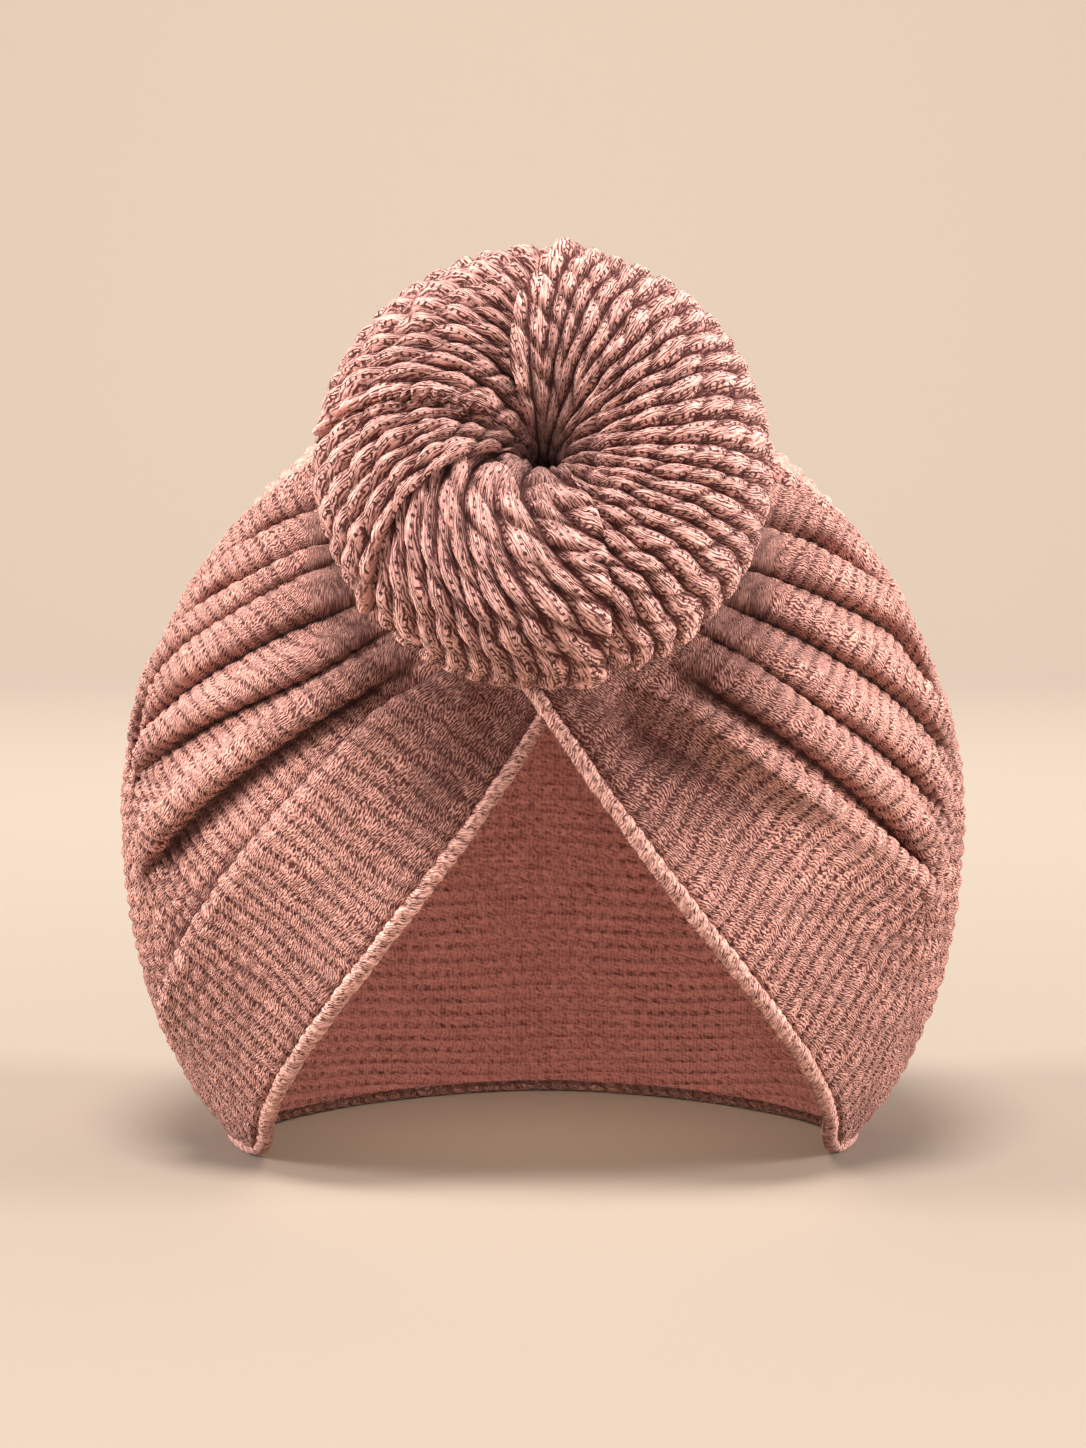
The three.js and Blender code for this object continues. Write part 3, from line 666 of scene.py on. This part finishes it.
def makeBand(band):
    span = band["end"] - band["start"]
    share = np.linspace(0, 1, int(span * knot["rowsPerDegree"]))
    ease = 0.02 * np.sin(2 * math.pi * share)
    share = np.clip(share - ease, 0, 1)
    shown = np.linspace(knot["visibleStart"], knot["visibleEnd"], knot["columns"])
    hidden = np.linspace(knot["visibleEnd"], knot["visibleStart"] + 360, knot["hiddenColumns"])[1:]
    section = np.concatenate([shown, hidden]) * degrees
    u, v = np.meshgrid(share, section, indexing="ij")
    inward = (1 - np.cos(v)) / 2
    start = band["start"] + band["startGain"] * inward
    end = band["end"] + band["endGain"] * inward
    distance = knot["radius"] + knot["halfWidth"] * np.cos(v)
    cut = 0.5 * crown["gap"] / distance / degrees
    around = start + cut + (end - start - 2 * cut) * u
    r = distance / (knot["radius"] + knot["halfWidth"])
    swirl = band["swirlStart"] + (band["swirlEnd"] - band["swirlStart"]) * u
    rim = around + swirl * (1 - r)
    s = knot["halfWidth"] * v
    wobble = 0.3 * ripple(rim / 9, s / 20, 31) + 0.07 * ripple(rim / 2, s / 3, 33)
    phase = rim * knot["ropes"] / 360 + wobble
    single = ropeRelief(phase, s)
    double = ropeRelief(phase / 2, s)
    soft = knot["mergeSoft"]
    merge = 1 - smooth(band["merge"] - soft, band["merge"] + soft, r)
    relief = single + (double - single) * merge
    soft = knot["againSoft"]
    again = 1 - smooth(band["mergeAgain"] - soft, band["mergeAgain"] + soft, r)
    relief = relief + (ropeRelief(phase / 4, s) - relief) * again
    room = np.clip(distance / knot["room"], knot["leastRoom"], 1)
    deeper = (1 + 0.45 * merge + 0.5 * again) * (1 - 0.3 * smooth(0.86, 1, r))
    toEnd = (1 - u) * (end - start) * degrees * distance
    toStart = u * (end - start) * degrees * distance
    lift = (relief - knot["level"]) * knot["depth"] * deeper * room
    lift = lift + band["raise"] * np.exp(-(toEnd / knot["raiseReach"]) ** 2) * room
    lift = lift - knot["under"] * (1 - smooth(0, knot["underReach"], toStart)) * room
    edge = knot["edge"]
    lift = lift - edge * (1 - np.sqrt(np.clip(1 - (1 - np.minimum(toEnd / edge, 1)) ** 2, 0, 1)))
    frill = band["frill"] * np.exp(-(toEnd / knot["frillReach"]) ** 2) * room
    frillWave = np.sin(2 * math.pi * s / 2.3 + 2 * np.sin(s / 5)) + 0.6 * np.sin(2 * math.pi * s / 3.7 + 1)
    lift = lift + knot["frillLift"] * frill * frillWave
    over = band["overhang"] + knot["frillLift"] * frill + knot["frillOver"] * frill * frillWave
    over = over * np.exp(-(toEnd / knot["overReach"]) ** 2) * room
    points = ringPoint((around + over / distance / degrees) * degrees, v, lift)
    startAround, endAround = around[:1] * degrees, around[-1:] * degrees
    under = -(knot["under"] + knot["bottom"]) * room[:1]
    startUnder = ringPoint(startAround, v[:1], under)
    endUnder = ringPoint(endAround, v[:1], under)
    startMiddle = np.broadcast_to(startUnder.mean(axis=1, keepdims=True), startUnder.shape)
    endMiddle = np.broadcast_to(endUnder.mean(axis=1, keepdims=True), endUnder.shape)
    points = np.concatenate([startMiddle, startUnder, points, endUnder, endMiddle])
    points[:, -1] = points[:, 0]
    piece = placeGrid(points, band["name"] + "_ropes")

    def padded(values):
        return np.concatenate([values[:1], values[:1], values, values[-1:], values[-1:]])

    pitch = 2 * math.pi * (knot["radius"] + knot["halfWidth"]) / knot["ropes"]
    keepKnit(piece, padded(phase * pitch), padded(s), padded(relief))
    return mergeShell(piece)


# Materials. row and eyelet are millimetres, threadAcross and threadAlong are threads per millimetre. The last
# three values of each look set how much painted shade darkens the eyelets, the hollows of the knit and the
# gaps between threads.
rose = (0.66, 0.325, 0.265)
innerShadeColour = (0.345, 0.132, 0.112)  # inner sides: the rose yarn painted darker and redder, painted shade inside the cap
looks = {
    "knit_outside": {
        "colour": rose, "row": knit["row"], "shift": 0, "threadAcross": 0.15, "threadAlong": 1 / 0.55,
        "arch": 0.5, "streakAcross": 1.2, "streakThread": 1.8, "eyelet": 1.3, "groove": 0.62, "holeShade": 2.2,
        "cavityShade": 1.0, "gap": 2.2,
    },
    "knit_back": {
        "colour": rose, "row": 3.4, "shift": 0, "threadAcross": 0, "threadAlong": 1 / 1.0, "arch": 0.3,
        "streakAcross": 1.4, "streakThread": 0.5, "eyelet": 3.0, "groove": 0.75, "holeShade": 0.2, "cavityShade": 0.55,
        "gap": 0.9,
    },
    "knot_knit": {
        "colour": (0.69, 0.36, 0.31), "row": 3.005, "shift": math.pi, "threadAcross": 1 / 0.62,
        "threadAlong": 0.3, "arch": 0.2, "streakAcross": 0.3, "streakThread": 1.4, "eyelet": 1.5,
        "groove": 0.5, "holeShade": 1.3, "cavityShade": 1.3, "gap": 2.2,
    },
    "overlock": {
        "colour": (0.68, 0.36, 0.3), "row": 3.0, "shift": 0, "threadAcross": 0.8, "threadAlong": 1 / 0.7,
        "arch": 0.3, "streakAcross": 0.8, "streakThread": 1.2, "eyelet": 2.5, "groove": 0.8, "holeShade": 0.3,
        "cavityShade": 0.6, "gap": 1.5,
    },
}
# Yarn settings: brightness of the lit yarn, the dark share that painted shade and random tone patches blend
# towards, and the shader's values
yarnLook = {
    "brightness": 1.25, "shadeAndTone": (0.13, 0.045, 0.038), "roughness": 0.95, "sheen": 0.08,
    "sheenRoughness": 0.5, "sheenTint": (1, 0.66, 0.58, 1), "threadBump": 0.55, "holeBump": 0.7,
    "cavityPower": 1.7, "gapFrom": 0.66, "patches": 0.18,
}


def knitMaterial(name, look):
    material = bpy.data.materials.new(name)
    material.use_nodes = True
    tree = material.node_tree
    nodes, links = tree.nodes, tree.links

    def maths(operation, *values):
        node = nodes.new("ShaderNodeMath")
        node.operation = operation
        for socket, value in zip(node.inputs, values):
            if isinstance(value, (int, float)):
                socket.default_value = value
            else:
                links.new(value, socket)
        return node.outputs[0]

    def noise(a, b, detail):
        place = nodes.new("ShaderNodeCombineXYZ")
        links.new(a, place.inputs[0])
        links.new(b, place.inputs[1])
        node = nodes.new("ShaderNodeTexNoise")
        node.inputs["Scale"].default_value = 1
        node.inputs["Detail"].default_value = detail
        links.new(place.outputs[0], node.inputs["Vector"])
        return maths("MULTIPLY_ADD", node.outputs["Fac"], 2.4, -0.7)

    def scaled(value, factor):
        return maths("MULTIPLY", value, factor)

    def stored(name):
        node = nodes.new("ShaderNodeAttribute")
        node.attribute_name = name
        return node

    split = nodes.new("ShaderNodeSeparateXYZ")
    links.new(stored("knit").outputs["Vector"], split.inputs[0])
    across, along, relief = split.outputs
    lively = maths("SUBTRACT", 1, stored("calm").outputs["Fac"])
    drift = maths("SUBTRACT", noise(scaled(across, 0.4), scaled(along, 0.4), 2), 0.5)
    speckle = noise(scaled(across, 1.5), scaled(along, 1.5), 3)
    patch = noise(scaled(across, 0.09), scaled(along, 0.09), 2)
    movedAcross = maths("MULTIPLY_ADD", drift, 0.5, across)
    movedAlong = maths("MULTIPLY_ADD", drift, 0.5, along)
    rowPlace = scaled(movedAcross, 2 * math.pi / look["row"])
    groove = maths("COSINE", maths("ADD", rowPlace, look["shift"]))
    threadsAlong = scaled(movedAlong, look["threadAlong"])
    threadPlace = maths("MULTIPLY_ADD", movedAcross, look["threadAcross"], threadsAlong)
    threadPlace = maths("MULTIPLY_ADD", maths("MULTIPLY", groove, patch), look["arch"], threadPlace)
    side = maths("MULTIPLY_ADD", along, 0.3, across) if look["streakAcross"] > 0.4 else along
    streak = noise(scaled(side, look["streakAcross"]), scaled(threadPlace, look["streakThread"]), 2)
    threadWave = maths("SINE", scaled(threadPlace, 2 * math.pi))
    thread = maths("MULTIPLY_ADD", threadWave, 0.16, scaled(streak, 0.85))
    thread = maths("MULTIPLY_ADD", speckle, 0.2, thread)
    rowNumber = maths("ROUND", scaled(across, 1 / look["row"]))
    rowChance = maths("FRACT", scaled(maths("SINE", scaled(rowNumber, 12.9898)), 43758.5))
    holeAlong = maths("MULTIPLY_ADD", rowChance, look["eyelet"], movedAlong)
    holeAlong = maths("COSINE", scaled(holeAlong, 2 * math.pi / look["eyelet"]))
    holeAlong = maths("MAXIMUM", maths("SUBTRACT", holeAlong, 0.3), 0)
    holeRow = maths("COSINE", maths("ADD", rowPlace, look["shift"] + 0.8))
    nearRow = scaled(maths("SUBTRACT", holeRow, look["groove"]), 5)
    holeAcross = maths("MINIMUM", maths("MAXIMUM", nearRow, 0), 1)
    hole = maths("MULTIPLY", maths("MULTIPLY", holeAcross, holeAlong), lively)
    gate = maths("MAXIMUM", scaled(maths("SUBTRACT", 0.85, speckle), 5), 0)
    hole = maths("MINIMUM", maths("MULTIPLY", hole, gate), 1)
    # painted shade: darker in the hollows of the knit, where the stored relief is low
    cavityShade = maths("POWER", maths("SUBTRACT", 1, maths("MINIMUM", relief, 1)), yarnLook["cavityPower"])
    # painted shade in the gaps between threads
    gap = maths("MAXIMUM", maths("SUBTRACT", yarnLook["gapFrom"], thread), 0)
    # painted shade in the eyelets, on top of their sunken bump
    shadeAndToneAmount = scaled(hole, look["holeShade"])
    shadeAndToneAmount = maths("MULTIPLY_ADD", cavityShade, look["cavityShade"], shadeAndToneAmount)
    shadeAndToneAmount = maths("MULTIPLY_ADD", gap, look["gap"], shadeAndToneAmount)
    shadeAndToneAmount = maths("MULTIPLY_ADD", maths("SUBTRACT", 0.5, patch), yarnLook["patches"], shadeAndToneAmount)

    def blend(factor, first, second):
        node = nodes.new("ShaderNodeMix")
        node.data_type = "RGBA"
        node.clamp_factor = True
        links.new(factor, node.inputs["Factor"])
        for socket, value in ((node.inputs["A"], first), (node.inputs["B"], second)):
            if isinstance(value, tuple):
                socket.default_value = (*value, 1)
            else:
                links.new(value, socket)
        return node.outputs["Result"]

    outerYarn = tuple(c * yarnLook["brightness"] for c in look["colour"])
    # inner sides get darker, redder yarn: painted shade inside the cap
    shadedInnerYarn = tuple(c * yarnLook["brightness"] for c in innerShadeColour)
    yarn = blend(stored("inner").outputs["Fac"], outerYarn, shadedInnerYarn)
    # dark colour for painted shade and random tone patches; the yarn blends towards it
    shadeAndTone = tuple(c * share for c, share in zip(look["colour"], yarnLook["shadeAndTone"]))
    shade = blend(shadeAndToneAmount, yarn, shadeAndTone)
    shader = nodes["Principled BSDF"]
    links.new(shade, shader.inputs["Base Color"])
    shader.inputs["Roughness"].default_value = yarnLook["roughness"]
    shader.inputs["Sheen Weight"].default_value = yarnLook["sheen"]
    shader.inputs["Sheen Roughness"].default_value = yarnLook["sheenRoughness"]
    shader.inputs["Sheen Tint"].default_value = yarnLook["sheenTint"]
    height = scaled(maths("MINIMUM", thread, 0.8), yarnLook["threadBump"] * mm)
    height = maths("MULTIPLY_ADD", hole, -yarnLook["holeBump"] * mm, height)
    bump = nodes.new("ShaderNodeBump")
    bump.inputs["Distance"].default_value = 1
    bump.inputs["Strength"].default_value = 1
    links.new(height, bump.inputs["Height"])
    links.new(bump.outputs["Normal"], shader.inputs["Normal"])
    return material


materials = {slot: knitMaterial(slot, look) for slot, look in looks.items()}
print("materials ready")


def finishPiece(piece, node, slot):
    piece.data.materials.clear()
    piece.data.materials.append(materials[slot])
    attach(piece, "root")
    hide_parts(node)
    print(piece.name, len(piece.data.polygons))
    return piece


hem = finishPiece(makeHem(), "hem_roll", "overlock")
edgings = {side: finishPiece(makeEdging(side), "edging_" + side, "overlock") for side in ("left", "right")}
for side in ("left", "right"):
    wrap = finishPiece(makePanel(side), "wrap_" + side, "knit_outside")
cap = finishPiece(makeBack(), "cap_back", "knit_back")
for band in bands:
    finishPiece(makeBand(band), band["name"], "knot_knit")

# Studio: a pale sweep under and behind the wrap, soft lamps above it, in front and at both sides, one inside
studio = {"sweepSize": 7, "sweepStart": 1.6, "sweepRadius": 1.2, "sweepColour": (0.285, 0.229, 0.181)}
bpy.ops.object.select_all(action="DESELECT")
bpy.ops.mesh.primitive_grid_add(x_subdivisions=4, y_subdivisions=160, size=studio["sweepSize"])
sweep = bpy.context.object
sweep.name = "sweep"
place = np.zeros(len(sweep.data.vertices) * 3)
sweep.data.vertices.foreach_get("co", place)
place = place.reshape(-1, 3)
bent = np.clip((place[:, 1] - studio["sweepStart"]) / studio["sweepRadius"], 0, math.pi / 2)
rest = np.maximum(0, place[:, 1] - studio["sweepStart"] - studio["sweepRadius"] * math.pi / 2)
flatPart = np.minimum(place[:, 1], studio["sweepStart"])
place[:, 1] = flatPart + studio["sweepRadius"] * np.sin(bent)
place[:, 2] = studio["sweepRadius"] * (1 - np.cos(bent)) + rest + hemLevel * mm
sweep.data.vertices.foreach_set("co", place.ravel())
sweep.data.update()
bpy.ops.object.shade_smooth()
paper = bpy.data.materials.new("paper")
paper.use_nodes = True
paper.node_tree.nodes["Principled BSDF"].inputs["Base Color"].default_value = (*studio["sweepColour"], 1)
paper.node_tree.nodes["Principled BSDF"].inputs["Roughness"].default_value = 1
sweep.data.materials.append(paper)

paleWhite = (1, 0.97, 0.94)
lamps = {
    "top": {"place": (-0.1, -1.15, 2), "aim": (0, 0, -0.05), "size": 0.9, "watts": 87, "colour": paleWhite},
    "highFront": {"place": (0.2, -2, 1.1), "aim": (0, 0, -0.1), "size": 1, "watts": 6, "colour": paleWhite},
    "lowFront": {"place": (0.1, -2.3, 0), "aim": (0, 0, -0.1), "size": 0.5, "watts": 5,
                 "colour": (1, 0.96, 0.94)},
    "leftSide": {"place": (-2.15, -0.2, 0.6), "aim": (0, 0, -0.08), "size": 0.9, "watts": 74,
                 "colour": paleWhite},
    "rightSide": {"place": (2.15, -0.25, 0.5), "aim": (0, 0, -0.08), "size": 0.9, "watts": 74,
                  "colour": paleWhite},
    "insideFill": {"place": (0, 0, -0.05), "aim": (0, 0, -0.2), "size": 0.09, "watts": 0.15,
                   "colour": (1, 0.84, 0.7)},
    "backdropLight": {"place": (0, 0.9, 1.4), "aim": (0, 2.6, 0.3), "size": 1.5, "watts": 54,
                      "colour": (1, 0.98, 0.96)},
}
for name, values in lamps.items():
    bpy.ops.object.light_add(type="AREA", location=values["place"])
    lamp = bpy.context.object
    lamp.name = name
    lamp.data.shape = "DISK"
    lamp.data.size = values["size"]
    lamp.data.energy = values["watts"]
    lamp.data.color = values["colour"]
    beam = Vector(values["aim"]) - Vector(values["place"])
    lamp.rotation_euler = beam.to_track_quat("-Z", "Y").to_euler()
world = bpy.data.worlds.new("studio")
bpy.context.scene.world = world
world.use_nodes = True
world.node_tree.nodes["Background"].inputs[0].default_value = (1, 0.95, 0.9, 1)
world.node_tree.nodes["Background"].inputs[1].default_value = 0.5
bpy.context.scene.view_settings.view_transform = "Standard"

# Camera: a little above the wrap, straight in front
view = {
    "distance": 1150, "aimHeight": 95, "elevation": 4.2, "pixelsPerMm": 4.42, "photoHeight": 1448,
    "sensor": 36, "clipEnd": 30,
}
bpy.ops.object.camera_add()
camera = bpy.context.object
bpy.context.scene.camera = camera
aim = Vector((0, 0, (view["aimHeight"] + hemLevel) * mm))
tilt = view["elevation"] * degrees
camera.location = aim + view["distance"] * mm * Vector((0, -math.cos(tilt), math.sin(tilt)))
camera.rotation_euler = (math.pi / 2 - tilt, 0, 0)
camera.data.sensor_width = view["sensor"]
camera.data.lens = view["sensor"] * view["pixelsPerMm"] * view["distance"] / view["photoHeight"]
camera.data.clip_end = view["clipEnd"]

print("scene ready")
